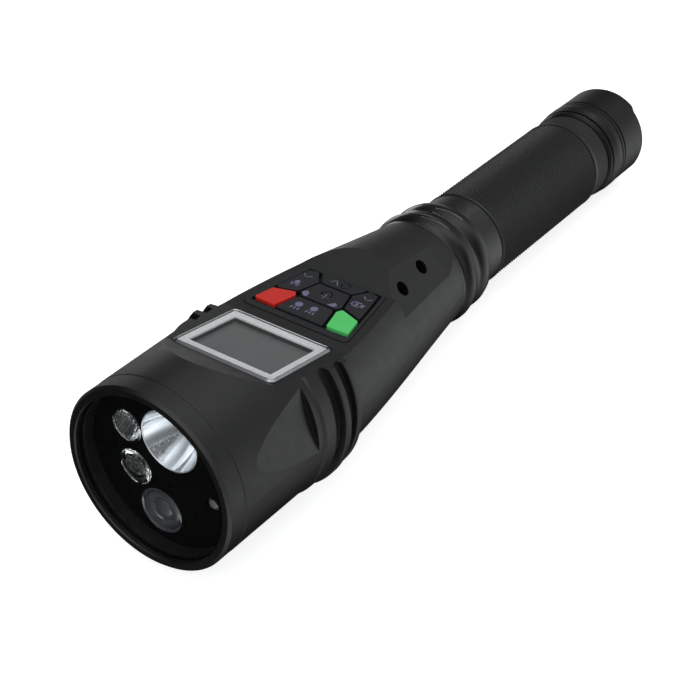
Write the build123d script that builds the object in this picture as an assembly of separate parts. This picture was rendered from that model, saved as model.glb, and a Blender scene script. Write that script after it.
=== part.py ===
from build123d import *
import math
import os

# A hand-held torch recorder: a turned aluminium head with lamps, a camera, a small display
# and a keypad, on a knurled battery tube with a screw-on tail cap.
#
# Every "station" is a distance in mm behind the bezel's front face, along the long axis (+Y).
# Up (+Z) is the display side. write_part() moves the model so that the origin lies on the
# long axis at the middle of the knurled grip.

# ------------------------------------------------------------------ driving dimensions, mm
BEZEL_R = 30.0
BEZEL_END = 7.1
BEZEL_LIP_R = 27.0
BEZEL_THREAD_R = 28.6
BEZEL_EDGE = 0.9
WINDOW_START = 1.6
WINDOW_END = 3.6
SEAL_END = 4.1

BARREL_END = 42.6
BARREL_FRONT_R = 30.1
BARREL_REAR_R = 30.35
GROOVE_R = 29.5
RIB_R = 32.2
COLLAR_END = 60.9
CONE_FRONT_R = 29.4
CONE_END = 136.8
CONE_REAR_R = 19.75
RING_1_R = 20.75
RING_2_R = 20.05
RING_2_END = 154.8
NECK_R = 17.1
HEAD_END = 166.6

BORE_R = 26.8
WALL = 4.4

DISPLAY_MID = 48.4
DISPLAY_MID_Z = 20.0
DISPLAY_TILT = math.degrees(math.atan(0.155))
DISPLAY_WIDTH = 37.4
DISPLAY_LENGTH = 30.4
DISPLAY_WINDOW = (30.2, 22.0)
DISPLAY_PROUD = 0.6
DISPLAY_SUNK = 0.7
DISPLAY_BEVEL = 1.2
DISPLAY_FILM = 0.05
FRAME_BASE = -1.3
LCD_TOP = -2.7
DISPLAY_SCREWS = [(x, along) for x in (-12.0, 12.0) for along in (-14.4, 14.4)]
KEYPAD_Z = 17.6
PLATFORM_END = 97.0
FRONT_RAMP_START = 19.75
FRONT_RAMP_SLOPE = 0.57
REAR_RAMP_SLOPE = 0.60

KEY_TOP_Z = 18.3
KEY_BASE_Z = 16.9
KEY_TRAVEL = 0.6
KEY_STEM_R = 1.2
PLATE_TOP_Z = 17.8
PLATE_BASE_Z = 16.2
MAT_BASE_Z = 15.2
KEYPAD_BOARD_TOP_Z = 13.2
BOARD_THICKNESS = 1.6

PANEL_START = 8.0
PANEL_THICKNESS = 2.0
PANEL_R = 26.6
REFLECTOR = (2.5, 10.6, 10.1)
UPPER_FLOOD = (-13.5, 8.9, 5.45)
LOWER_FLOOD = (-11.0, -4.75, 5.9)
CAMERA = (-1.75, -16.45, 8.7)
LIGHT_SENSOR = (17.2, -5.4, 2.5)
MICROPHONE = (1.6, -6.0, 0.7)
PANEL_SCREWS = ((-18.7, -0.9), (11.4, -12.7))
PANEL_SCREW_HEAD_R = 1.05
PANEL_SCREW_SHANK_R = 0.6
HEAT_SINK_START = 22.6
HEAT_SINK_END = 26.6
HEAT_SINK_TOP_Z = 21.0
HEAT_SINK_SCREWS = ((-17.0, -9.0), (17.0, -9.0))

SIDE_FLAT_ANGLE = 43.0
SIDE_FLAT_START = 96.8
SIDE_FLAT_TURN = 130.0
SIDE_FLAT_FRONT = 24.33
SIDE_FLAT_SLOPE = 0.136
SIDE_SCREWS = ((104.7, -0.1), (119.7, -1.9))
SIDE_HOLE_R = 2.5
SIDE_HOLE_DEPTH = 2.5

SCALLOP_ANGLE = 71.0
SCALLOP_START = 14.0
SCALLOP_END = 40.5
SCALLOP_REAR = 28.4

THREAD_R = 15.58
THREAD_CLEARANCE = 0.06
TUBE_BORE_R = 13.6
GRIP_START = 167.4
GRIP_END = 237.0
GRIP_R = 17.4
TAIL_NECK_R = 16.8
CAP_START = 247.5
TUBE_END = 259.5
CELL_R = 13.1
CELL_LENGTH = 49.5
CELL_START = 154.5

CAP_END = 276.8
CAP_R = 17.95
CAP_BULGE_R = 18.1
CAP_THREAD_END = 260.5
CAP_WEB_START = 267.6
CAP_WEB_END = 269.4
CAP_RIM_BORE_R = 13.5
RIM_NOTCH_ANGLES = (80.0, -100.0)
RIM_NOTCH_WIDTH = 24.0
RIM_NOTCH_DEPTH = 2.6
RIM_NOTCH_CORNER_R = 2.4
RIM_ROUND = 1.6
CAP_GROOVE_DEPTH = 0.5
BOOT_R = 8.0
BOOT_TOP = 274.2
BOOT_CEILING = 271.5
BOOT_FLANGE_R = 9.4
BOOT_FLANGE_START = 266.2
SWITCH_CASE_END = 264.4
SCREW_SHANK_R = 0.95

ORIGIN_STATION = (GRIP_START + GRIP_END) / 2
FAR = 45.0
BLEND = 0.01


# ------------------------------------------------------------------ small makers
def write_part(name, shape):
    """Writes one node with the origin moved to the middle of the grip."""
    moved = Pos(0, -ORIGIN_STATION, 0) * shape
    export_step(moved, f"parts/{name}.step")


def turned(points):
    """A solid of revolution about the long axis from (radius, station) corners."""
    return revolve(make_face(Polyline(*points, close=True)), axis=Axis.Y)


def rod(radius, start, end, x=0.0, z=0.0):
    """A round bar along the long axis."""
    bar = Cylinder(radius, end - start, align=(Align.CENTER, Align.CENTER, Align.MIN))
    return Location((x, start, z), (-90, 0, 0)) * bar


def ring(outer_r, inner_r, start, end, x=0.0, z=0.0):
    """A round tube along the long axis."""
    return rod(outer_r, start, end, x, z) - rod(inner_r, start - 1, end + 1, x, z)


def post(radius, low, high, x, station):
    """An upright round bar."""
    bar = Cylinder(radius, high - low, align=(Align.CENTER, Align.CENTER, Align.MIN))
    return Pos(x, station, low) * bar


def block(x_range, station_range, z_range):
    """A box between two corners."""
    size = [high - low for low, high in (x_range, station_range, z_range)]
    middle = [(high + low) / 2 for low, high in (x_range, station_range, z_range)]
    return Pos(*middle) * Box(*size)


def side_prism(points, half_width, angle=0.0):
    """A prism across the body from (station, height) corners, turned about the long axis."""
    profile = Plane.YZ * make_face(Polyline(*points, close=True))
    return Rot(0, angle, 0) * extrude(profile, amount=half_width, both=True)


def plan_outline(points, radius=0.0, grow=0.0):
    """A flat (x, station) outline, with rounded corners."""
    outline = make_face(Polyline(*points, close=True))
    if grow:
        outline = offset(outline, amount=grow, kind=Kind.INTERSECTION)
    if radius:
        outline = fillet(outline.vertices(), radius)
    return outline


def plan_prism(points, low, high, radius=0.0, grow=0.0):
    """An upright prism from a flat outline."""
    return extrude(Pos(0, 0, low) * plan_outline(points, radius, grow), amount=high - low)


def mirrored(points):
    """The same outline on the other side of the middle plane."""
    return [(-x, station) for x, station in reversed(points)]


def display_plate(width, length, low, high, corner=0.0):
    """A plate parallel to the tilted display face, at heights above that face."""
    outline = Rectangle(width, length)
    if corner:
        outline = fillet(outline.vertices(), corner)
    return display_plane() * extrude(Pos(0, 0, low) * outline, amount=high - low)


def display_plane():
    """The tilted face that the display sits in."""
    tilt = math.radians(DISPLAY_TILT)
    return Plane(
        origin=(0, DISPLAY_MID, DISPLAY_MID_Z),
        x_dir=(1, 0, 0),
        z_dir=(0, math.sin(tilt), math.cos(tilt)),
    )


def side_location(station, offset_along, radius):
    """A place on the side flat's own direction: z points out of the body."""
    turn = Rot(0, SIDE_FLAT_ANGLE, 0)
    return turn * Pos(offset_along, station, radius)


def side_flat_height(station):
    """Distance of the side flat from the long axis."""
    return SIDE_FLAT_FRONT - SIDE_FLAT_SLOPE * (station - SIDE_FLAT_START)


# ------------------------------------------------------------------ keypad layout
SIDE_KEY = [(9.9, 71.6), (17.8, 71.9), (16.2, 79.4), (8.9, 81.8), (7.8, 79.9)]
LAMP_KEY = [(-8.8, 71.0), (8.8, 71.0), (6.9, 79.3), (6.2, 80.1), (-6.2, 80.1), (-6.9, 79.3)]
POWER_KEY = [(-6.3, 80.9), (6.3, 80.9), (7.9, 82.6), (5.8, 90.0), (-5.8, 90.0), (-7.9, 82.6)]
REAR_SIDE_KEY = [(8.7, 82.8), (16.0, 80.4), (13.3, 94.6), (9.9, 95.4), (6.5, 90.4)]
OK_KEY = [(-5.6, 90.8), (5.6, 90.8), (8.9, 95.6), (-8.9, 95.6)]
KEYS = {
    "red_key": (mirrored(SIDE_KEY), (-13.2, 76.6)),
    "green_key": (SIDE_KEY, (13.2, 76.6)),
    "lamp_key": (LAMP_KEY, (0.0, 75.4)),
    "power_key": (POWER_KEY, (0.0, 85.3)),
    "ok_key": (OK_KEY, (0.0, 93.2)),
    "left_key": (mirrored(REAR_SIDE_KEY), (-11.6, 87.8)),
    "right_key": (REAR_SIDE_KEY, (11.6, 87.8)),
}
PLATE = [(-20.0, 68.0), (20.0, 68.0), (15.1, 96.7), (-15.1, 96.7)]
PLATE_OPENING = [(-18.5, 70.5), (18.5, 70.5), (13.9, 96.0), (-13.9, 96.0)]
KEYPAD_SCREWS = ((-8.2, 84.4), (8.2, 84.4), (-12.6, 70.8), (12.6, 70.8))


# ------------------------------------------------------------------ head shell
def platform_profile(drop):
    """Side outline of everything above the display and keypad faces, lowered by drop."""
    tilt = math.tan(math.radians(DISPLAY_TILT))
    display_end = DISPLAY_MID + (DISPLAY_MID_Z - KEYPAD_Z) / tilt
    ramp_top_z = BARREL_REAR_R - 0.2
    ramp_end = (
        ramp_top_z + FRONT_RAMP_SLOPE * FRONT_RAMP_START - DISPLAY_MID_Z - tilt * DISPLAY_MID
    ) / (FRONT_RAMP_SLOPE - tilt)
    ramp_end_z = DISPLAY_MID_Z + tilt * (DISPLAY_MID - ramp_end)
    lead_in = 2.0
    rear_run = 22.0
    return [
        (FRONT_RAMP_START - lead_in, ramp_top_z + lead_in * FRONT_RAMP_SLOPE - drop),
        (ramp_end, ramp_end_z - drop),
        (display_end, KEYPAD_Z - drop),
        (PLATFORM_END, KEYPAD_Z - drop),
        (PLATFORM_END + rear_run, KEYPAD_Z + rear_run * REAR_RAMP_SLOPE - drop),
        (PLATFORM_END + rear_run, FAR),
        (FRONT_RAMP_START - lead_in, FAR),
    ]


def head_outside():
    """The turned outside: barrel, grooved collar, tapering cone, two rings and the neck."""
    barrel = Polyline(
        (0, SEAL_END),
        (BEZEL_THREAD_R - 0.05, SEAL_END),
        (BEZEL_THREAD_R - 0.05, BEZEL_END),
        (BARREL_FRONT_R - 0.15, BEZEL_END),
        (BARREL_FRONT_R, BEZEL_END + 0.15),
        (BARREL_REAR_R, BARREL_END),
        (31.0, 43.4),
        (31.05, 47.9),
        (30.8, 48.2),
        (GROOVE_R, 48.4),
        (GROOVE_R, 51.5),
        (RIB_R - 0.3, 51.8),
        (RIB_R, 52.1),
        (RIB_R, 54.0),
        (RIB_R - 0.3, 54.3),
        (GROOVE_R, 54.6),
        (GROOVE_R, 58.0),
        (31.3, 58.3),
        (31.6, 58.6),
        (31.5, 60.2),
        (31.2, 60.5),
        (CONE_FRONT_R, COLLAR_END),
    )
    cone = Spline(
        (CONE_FRONT_R, COLLAR_END),
        (27.1, 85.0),
        (23.6, 110.0),
        (CONE_REAR_R, CONE_END),
    )
    valley = ThreePointArc((CONE_REAR_R, CONE_END), (19.45, 137.8), (19.65, 138.9))
    ring_1 = ThreePointArc((19.65, 138.9), (20.5, 140.8), (RING_1_R, 143.0))
    ring_1 += Line((RING_1_R, 143.0), (19.6, 146.4))
    saddle = ThreePointArc((19.6, 146.4), (19.25, 147.6), (19.45, 148.8))
    ring_2 = ThreePointArc((19.45, 148.8), (19.95, 150.6), (RING_2_R, 152.6))
    ring_2 += Line((RING_2_R, 152.6), (19.5, RING_2_END))
    cove = ThreePointArc((19.5, RING_2_END), (17.7, 156.0), (NECK_R, 157.8))
    neck = Polyline((NECK_R, 157.8), (NECK_R, HEAD_END), (0, HEAD_END), (0, SEAL_END))
    outline = barrel + cone + valley + ring_1 + saddle + ring_2 + cove + neck
    return revolve(make_face(outline), axis=Axis.Y)


def head_inside():
    """The cavity, with a roof that leaves a floor under the display and the keypad."""
    bore = turned(
        [
            (0, SEAL_END - 1),
            (BORE_R, SEAL_END - 1),
            (BORE_R, 60.0),
            (21.5, 97.0),
            (15.0, 137.0),
            (12.4, 139.5),
            (12.4, 147.0),
            (14.2, 147.0),
            (14.2, 150.5),
            (THREAD_R + 0.04, 150.5),
            (THREAD_R + 0.04, HEAD_END + 1),
            (0, HEAD_END + 1),
        ]
    )
    return bore - side_prism(platform_profile(WALL), FAR)


def side_flat_cutter():
    """Cuts the side flat, which runs out at the rear end of the cone."""
    return side_prism(
        [
            (SIDE_FLAT_START, side_flat_height(SIDE_FLAT_START)),
            (SIDE_FLAT_TURN, side_flat_height(SIDE_FLAT_TURN)),
            (CONE_END, CONE_REAR_R),
            (CONE_END, FAR),
            (SIDE_FLAT_START, FAR),
        ],
        15.0,
        SIDE_FLAT_ANGLE,
    )


def scallop_cutter(angle):
    return side_prism(
        [
            (SCALLOP_START, BARREL_FRONT_R + 0.05),
            (SCALLOP_END, SCALLOP_REAR),
            (SCALLOP_END, FAR),
            (SCALLOP_START, FAR),
        ],
        20.0,
        angle,
    )


def side_screw_hole(station, lateral):
    """A counterbored hole for one side screw."""
    floor = side_flat_height(station) - SIDE_HOLE_DEPTH
    counterbore = Cylinder(SIDE_HOLE_R, 6, align=(Align.CENTER, Align.CENTER, Align.MIN))
    shank = Cylinder(1.6, 12, align=(Align.CENTER, Align.CENTER, Align.MAX))
    return side_location(station, lateral, floor) * counterbore + side_location(
        station, lateral, floor + 1
    ) * shank


def keypad_pockets():
    """Pockets for the keypad plate and mat, with a round hole under each key."""
    cut = plan_prism(PLATE, PLATE_BASE_Z, KEYPAD_Z + 1, 2.0, 0.15)
    cut += plan_prism(PLATE, MAT_BASE_Z, PLATE_BASE_Z + BLEND, 1.5, -0.8)
    for _, (x, station) in KEYS.values():
        cut += post(3.3, KEYPAD_Z - WALL - 1, MAT_BASE_Z + BLEND, x, station)
    for x, station in KEYPAD_SCREWS:
        cut += post(1.0, KEYPAD_Z - WALL - 1, MAT_BASE_Z - 0.5, x, station)
    return cut


def display_pockets():
    """Stepped pocket: lens, frame and display module, open to the cavity."""
    cut = display_plate(DISPLAY_WIDTH + 0.2, DISPLAY_LENGTH + 0.2, -DISPLAY_SUNK, 2, 1.8)
    cut += display_plate(35.2, 28.2, FRAME_BASE, -DISPLAY_SUNK + BLEND, 1.2)
    cut += display_plate(33.4, 25.8, -WALL - 1, FRAME_BASE + BLEND)
    for x, along in DISPLAY_SCREWS:
        hole = Cylinder(1.0, 3.0, align=(Align.CENTER, Align.CENTER, Align.MIN))
        cut += display_plane() * Pos(x, along, -WALL - 1) * hole
    return cut


def make_head_body():
    body = head_outside() - head_inside()
    body -= side_prism(platform_profile(0.0), FAR)
    body -= side_flat_cutter()
    for angle in (SCALLOP_ANGLE, -SCALLOP_ANGLE):
        body -= scallop_cutter(angle)
    for station, lateral in SIDE_SCREWS:
        body -= side_screw_hole(station, lateral)
    body -= keypad_pockets()
    body -= display_pockets()
    return body


# ------------------------------------------------------------------ front end
def make_bezel_ring():
    return turned(
        [
            (BEZEL_LIP_R + 0.3, 0),
            (BEZEL_R - BEZEL_EDGE, 0),
            (BEZEL_R, BEZEL_EDGE),
            (BEZEL_R, BEZEL_END - 0.15),
            (BEZEL_R - 0.15, BEZEL_END),
            (BEZEL_THREAD_R, BEZEL_END),
            (BEZEL_THREAD_R, WINDOW_START),
            (BEZEL_LIP_R, WINDOW_START),
            (BEZEL_LIP_R, 0.3),
        ]
    )


def make_optics_panel():
    panel = rod(PANEL_R, PANEL_START, PANEL_START + PANEL_THICKNESS)
    for x, z, radius in (REFLECTOR, UPPER_FLOOD, LOWER_FLOOD, CAMERA, LIGHT_SENSOR):
        panel -= rod(radius + 0.1, PANEL_START - 1, PANEL_START + 5, x, z)
    x, z, radius = MICROPHONE
    panel -= rod(radius, PANEL_START - 1, PANEL_START + 5, x, z)
    for x, z in PANEL_SCREWS:
        panel -= rod(PANEL_SCREW_SHANK_R + 0.15, PANEL_START - 1, PANEL_START + 5, x, z)
    return panel


def make_panel_screws():
    screws = []
    for x, z in PANEL_SCREWS:
        head = rod(PANEL_SCREW_HEAD_R, PANEL_START - 0.6, PANEL_START, x, z)
        head -= block(
            (x - 0.7, x + 0.7),
            (PANEL_START - 1, PANEL_START - 0.3),
            (z - 0.15, z + 0.15),
        )
        screws.append(head + rod(PANEL_SCREW_SHANK_R, PANEL_START - 0.1, PANEL_START + 6, x, z))
    return screws[0] + screws[1]


def make_reflector():
    """A parabolic cup, 0.8 mm thick, open at its apex for the lamp."""
    x, z, rim_r = REFLECTOR
    rim, apex, apex_r = PANEL_START + 0.1, 20.6, 2.6
    skin = 0.8
    middle = (rim + apex) / 2
    depth_share = (apex - middle) / (apex - rim)
    middle_r = math.sqrt(apex_r**2 + (rim_r**2 - apex_r**2) * depth_share)
    inner = Spline(
        (rim_r - 0.4, rim), (middle_r - 0.4, middle), (apex_r, apex)
    )
    outer = Polyline(
        (apex_r, apex),
        (apex_r + skin, apex),
        (middle_r + skin * 0.9, middle),
        (rim_r, rim + 1.6),
        (rim_r, rim),
        (rim_r - 0.4, rim),
    )
    cup = revolve(make_face(inner + outer), axis=Axis.Y)
    return Pos(x, 0, z) * cup


def make_flood_lens(place):
    """A clear cone that gathers its lamp's light, with a lamp pocket behind."""
    x, z, radius = place
    start = PANEL_START + 0.1
    cone = turned(
        [
            (0, start),
            (radius - 0.3, start),
            (radius, start + 0.3),
            (radius, start + 1.4),
            (2.7, start + 7.0),
            (1.7, start + 7.0),
            (1.7, start + 4.6),
            (0, start + 4.6),
        ]
    )
    return Pos(x, 0, z) * cone


def make_flood_led(place):
    x, z, _ = place
    board_face = PANEL_START + 8.2
    chip = block((x - 1.1, x + 1.1), (board_face - 0.8, board_face), (z - 1.1, z + 1.1))
    return chip + rod(0.9, board_face - 1.5, board_face - 0.7, x, z)


def make_flood_led_boards():
    start = PANEL_START + 8.2
    boards = [rod(4.2, start, start + 1.2, x, z) for x, z, _ in (UPPER_FLOOD, LOWER_FLOOD)]
    return boards[0] + boards[1]


def make_main_led():
    x, z, _ = REFLECTOR
    base = block((x - 1.75, x + 1.75), (20.2, 21.0), (z - 1.75, z + 1.75))
    dome = Pos(x, 20.2, z) * Sphere(1.4)
    return base + (dome & block((x - 3, x + 3), (17, 20.3), (z - 3, z + 3)))


def make_camera_front_lens():
    """A shallow domed lens."""
    x, z, radius = CAMERA
    lens_r = radius - 1.15
    rise = 1.0
    dome_r = (lens_r**2 + rise**2) / (2 * rise)
    start = PANEL_START - 0.4
    dome = Pos(x, start + dome_r, z) * Sphere(dome_r)
    return dome & rod(lens_r, start - 1, start + 3.0, x, z)


def make_camera_lens_ring():
    x, z, radius = CAMERA
    start = PANEL_START - 0.3
    return Pos(x, 0, z) * turned(
        [
            (radius - 1.1, start + 0.2),
            (radius - 0.6, start),
            (radius - 0.2, start),
            (radius, start + 0.2),
            (radius, start + 3.4),
            (radius - 2.0, start + 3.4),
            (radius - 2.0, start + 3.0),
            (radius - 1.1, start + 3.0),
        ]
    )


def make_camera_barrel():
    x, z, radius = CAMERA
    start = PANEL_START + 3.2
    barrel = rod(radius - 0.6, start, start + 4, x, z)
    barrel += rod(radius - 2.0, start + 3.9, 20.9, x, z)
    return barrel - rod(3.5, start - 1, start + 5, x, z)


def make_camera_board():
    x, z, _ = CAMERA
    return block((x - 8, x + 8), (20.95, 22.15), (z - 7.8, z + 8))


def make_light_sensor_lens():
    """A small clear dome on a short stem."""
    x, z, radius = LIGHT_SENSOR
    start = PANEL_START + 0.2
    sine = math.sin(math.radians(45))
    dome = ThreePointArc(
        (0, start), (radius * sine, start + radius * (1 - sine)), (radius, start + radius)
    )
    stem = Polyline((radius, start + radius), (radius, start + 3.0), (0, start + 3.0), (0, start))
    return Pos(x, 0, z) * revolve(make_face(dome + stem), axis=Axis.Y)


def make_sensor_board():
    """One small board behind the panel carries the light sensor and the microphone."""
    x, z, _ = LIGHT_SENSOR
    board = block((-1.0, 20.0), (12.6, 13.8), (-8.0, -2.8))
    return board + block((x - 1.2, x + 1.2), (11.4, 12.7), (z - 1.2, z + 1.2))


def make_microphone():
    x, z, _ = MICROPHONE
    return rod(2.0, 10.1, 12.6, x, z)


def make_heat_sink():
    """A plate with a post behind each flood lamp and a boss for each panel screw."""
    plate = rod(BORE_R - 0.2, HEAT_SINK_START, HEAT_SINK_END)
    plate &= block((-FAR, FAR), (0, 60), (-FAR, HEAT_SINK_TOP_Z))
    for x, z, _ in (UPPER_FLOOD, LOWER_FLOOD):
        plate += rod(3.6, PANEL_START + 9.4, HEAT_SINK_START + BLEND, x, z)
    for x, z in PANEL_SCREWS:
        boss = rod(2.1, PANEL_START + PANEL_THICKNESS, HEAT_SINK_START + BLEND, x, z)
        plate += boss - rod(PANEL_SCREW_SHANK_R + 0.05, 0, PANEL_START + 7, x, z)
    for x, z in HEAT_SINK_SCREWS:
        plate -= rod(1.0, HEAT_SINK_START - 1, HEAT_SINK_END + 1, x, z)
    plate -= block((10, 18), (0, 60), (4, 12))
    return plate


# ------------------------------------------------------------------ display
def make_display_lens():
    """A clear cover with a wide bevel round its raised top."""
    rise = DISPLAY_PROUD - 0.05
    lens = display_plate(DISPLAY_WIDTH, DISPLAY_LENGTH, -DISPLAY_SUNK, 0.05, 1.7)
    outline = fillet(Rectangle(DISPLAY_WIDTH, DISPLAY_LENGTH).vertices(), 1.7)
    bevel_angle = math.degrees(math.atan(DISPLAY_BEVEL / rise))
    top = extrude(Pos(0, 0, 0.05) * outline, amount=rise, taper=bevel_angle)
    return lens + display_plane() * top


def make_display_frame():
    """A silver border, a film's thickness under the cover."""
    frame = display_plate(35.0, 28.0, FRAME_BASE, -DISPLAY_SUNK - DISPLAY_FILM, 1.1)
    return frame - display_plate(*DISPLAY_WINDOW, -2, 0, 0.4)


def make_display_gasket():
    """A dark spacer that holds the display below its frame."""
    width, length = DISPLAY_WINDOW
    gasket = display_plate(33.0, 25.4, LCD_TOP, FRAME_BASE)
    return gasket - display_plate(width + 0.4, length + 0.4, LCD_TOP - 1, 0, 0.4)


def make_lcd_panel():
    return display_plate(33.0, 25.4, -WALL, LCD_TOP)


def make_lcd_bracket():
    bracket = display_plate(32.0, 32.8, -WALL - 0.8, -WALL, 1.0)
    bracket -= display_plate(24.0, 18.0, -WALL - 2, 0, 2.0)
    for x, along in DISPLAY_SCREWS:
        bracket -= display_plane() * Pos(x, along, -WALL) * Cylinder(1.1, 4)
    return bracket


# ------------------------------------------------------------------ keypad
def make_key(outline, place):
    """A cap with a rounded top edge, and a stem down towards its switch."""
    cap = plan_prism(outline, KEY_BASE_Z, KEY_TOP_Z, 0.7)
    cap = fillet(cap.faces().sort_by(Axis.Z)[-1].edges(), 0.3)
    x, station = place
    return cap + post(KEY_STEM_R, 15.1, KEY_BASE_Z + BLEND, x, station)


def make_keypad_plate():
    plate = plan_prism(PLATE, PLATE_BASE_Z, PLATE_TOP_Z, 2.0)
    plate -= plan_prism(PLATE_OPENING, PLATE_BASE_Z - 1, PLATE_TOP_Z + 1, 1.0)
    return plate


def make_keypad_mat():
    mat = plan_prism(PLATE, MAT_BASE_Z, PLATE_BASE_Z, 1.4, -0.9)
    for _, (x, station) in KEYS.values():
        mat -= post(KEY_STEM_R + 0.4, MAT_BASE_Z - 1, PLATE_BASE_Z + 1, x, station)
    return mat


def make_keypad_board():
    top = KEYPAD_BOARD_TOP_Z
    outline = [(-17.0, 69.0), (17.0, 69.0), (14.0, 96.4), (-14.0, 96.4)]
    board = plan_prism(outline, top - BOARD_THICKNESS, top, 1.0)
    for x, station in KEYPAD_SCREWS:
        board -= post(1.1, top - 3, top + 1, x, station)
    return board


def make_key_switches():
    """One square tactile switch under each key."""
    low = KEYPAD_BOARD_TOP_Z
    switches = Part()
    for _, (x, station) in KEYS.values():
        case = block((x - 2.2, x + 2.2), (station - 2.2, station + 2.2), (low, low + 0.9))
        switches += case + post(1.2, low + 0.8, low + 1.2, x, station)
    return switches


def make_floor_screws():
    """Eight small screws, up into the floor: four at the display and four at the keypad."""
    head = Cylinder(1.7, 1.0, align=(Align.CENTER, Align.CENTER, Align.MAX))
    shank = Cylinder(SCREW_SHANK_R, 2.8, align=(Align.CENTER, Align.CENTER, Align.MIN))
    screw = head + shank
    screws = Part()
    for x, along in DISPLAY_SCREWS:
        screws += display_plane() * Pos(x, along, -WALL - 0.8) * screw
    for x, station in KEYPAD_SCREWS:
        screws += Pos(x, station, KEYPAD_BOARD_TOP_Z - BOARD_THICKNESS) * screw
    return screws


# ------------------------------------------------------------------ inside the head
TRAY = ((-16.0, 16.0), (28.6, 121.0), (0.0, 2.0))
MAIN_BOARD = ((-15.0, 15.0), (62.0, 99.0), (4.0, 5.6))
MAIN_BOARD_SCREWS = ((-12.5, 65.0), (12.5, 65.0), (-12.5, 96.0), (12.5, 96.0))


def make_inner_chassis():
    """A tray on a front flange, with board pillars and a block for the side screws."""
    chassis = block(*TRAY)
    chassis += block((-19.5, 19.5), (HEAT_SINK_END, HEAT_SINK_END + 2.0), (-12.0, 2.0))
    for x, station in MAIN_BOARD_SCREWS:
        chassis += post(2.2, 1.5, 4.0, x, station)
        chassis -= post(1.0, 0.6, 5.0, x, station)
    block_in_place = Rot(0, SIDE_FLAT_ANGLE, 0) * block((-4.5, 4.5), (101.0, 123.0), (2.0, 16.4))
    chassis += block_in_place & block((-FAR, FAR), (0, 200), (0.5, FAR))
    for station, lateral in SIDE_SCREWS:
        chassis -= side_location(station, lateral, 8.0) * Cylinder(
            1.45, 14, align=(Align.CENTER, Align.CENTER, Align.MIN)
        )
    for x, z in HEAT_SINK_SCREWS:
        chassis -= rod(1.0, HEAT_SINK_END - 1, HEAT_SINK_END + 1.5, x, z)
    return chassis


def make_heat_sink_screws():
    screws = Part()
    for x, z in HEAT_SINK_SCREWS:
        screws += rod(1.8, HEAT_SINK_START - 1.2, HEAT_SINK_START, x, z)
        screws += rod(SCREW_SHANK_R, HEAT_SINK_START - BLEND, HEAT_SINK_END + 1.4, x, z)
    return screws


def make_side_screws():
    """Two socket-headed screws that hold the chassis, sunk in the side flat."""
    up = (Align.CENTER, Align.CENTER, Align.MIN)
    down = (Align.CENTER, Align.CENTER, Align.MAX)
    screws = Part()
    for station, lateral in SIDE_SCREWS:
        floor = side_flat_height(station) - SIDE_HOLE_DEPTH
        screw = Cylinder(2.3, 1.2, align=up) + Cylinder(1.4, 8.0, align=down)
        screw -= Pos(0, 0, 0.4) * extrude(RegularPolygon(1.15, 6), amount=2)
        screws += side_location(station, lateral, floor) * screw
    return screws


def make_main_board():
    board = block(*MAIN_BOARD)
    for x, station in MAIN_BOARD_SCREWS:
        board -= post(1.1, 3, 7, x, station)
    for x_range, station_range, height in (
        ((-5.0, 5.0), (70.0, 80.0), 1.2),
        ((-11.0, -6.5), (72.0, 80.0), 1.0),
        ((3.0, 10.0), (86.0, 91.0), 1.6),
    ):
        board += block(x_range, station_range, (5.5, 5.6 + height))
    return board


def make_main_board_screws():
    screws = Part()
    for x, station in MAIN_BOARD_SCREWS:
        screws += post(1.8, 5.6, 6.7, x, station)
        screws += post(SCREW_SHANK_R, 1.0, 5.61, x, station)
    return screws


def make_card_socket():
    socket = block((6.5, 14.5), (70.0, 84.0), (5.6, 7.4))
    return socket - block((7.2, 13.8), (69.0, 83.2), (6.1, 7.0))


def make_memory_card():
    return block((7.3, 13.7), (69.2, 83.0), (6.15, 6.95))


def make_lcd_ribbon():
    """A flat flexible cable from the display module down to the main board."""
    return side_prism(
        [
            (58.6, 12.9),
            (64.2, 6.3),
            (68.0, 5.9),
            (68.0, 5.6),
            (64.0, 6.0),
            (58.3, 12.7),
        ],
        4.5,
    )


def make_battery_leads():
    leads = Part()
    for x in (-4.0, -8.0):
        leads += rod(0.8, 95.0, 147.0, x, 6.4)
    return leads


def make_contact_board():
    return rod(14.0, 147.0, 148.6)


def coil_spring(wire_r, radius, start, end):
    """A helical contact spring along the long axis, with a flat ring at its foot."""
    foot = Torus(radius, wire_r)
    turns_height = end - start - 2 * wire_r
    path = Helix(pitch=turns_height / 3, height=turns_height, radius=radius)
    wire = sweep(Plane(origin=path @ 0, z_dir=path % 0) * Circle(wire_r), path=path, is_frenet=True)
    return Location((0, start + wire_r, 0), (-90, 0, 0)) * (foot + wire)


# ------------------------------------------------------------------ battery tube and cells
def make_battery_tube():
    return turned(
        [
            (TUBE_BORE_R, 151.0),
            (THREAD_R - 0.3, 151.0),
            (THREAD_R, 151.3),
            (THREAD_R, GRIP_START),
            (GRIP_R - 0.3, GRIP_START),
            (GRIP_R, GRIP_START + 0.3),
            (GRIP_R, GRIP_END),
            (TAIL_NECK_R + 0.1, GRIP_END + 2.4),
            (TAIL_NECK_R, GRIP_END + 3.0),
            (TAIL_NECK_R, CAP_START - 0.3),
            (15.3, CAP_START - 0.3),
            (15.3, 249.6),
            (THREAD_R, 249.6),
            (THREAD_R, TUBE_END - 0.4),
            (THREAD_R - 0.4, TUBE_END),
            (TUBE_BORE_R, TUBE_END),
        ]
    )


def make_cell(start):
    """A round cell with its raised positive cap towards the lamp."""
    can = rod(CELL_R, start + 1.2, start + CELL_LENGTH)
    can = chamfer(can.edges().filter_by(GeomType.CIRCLE), 0.5)
    return can + rod(3.4, start, start + 1.3)


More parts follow.
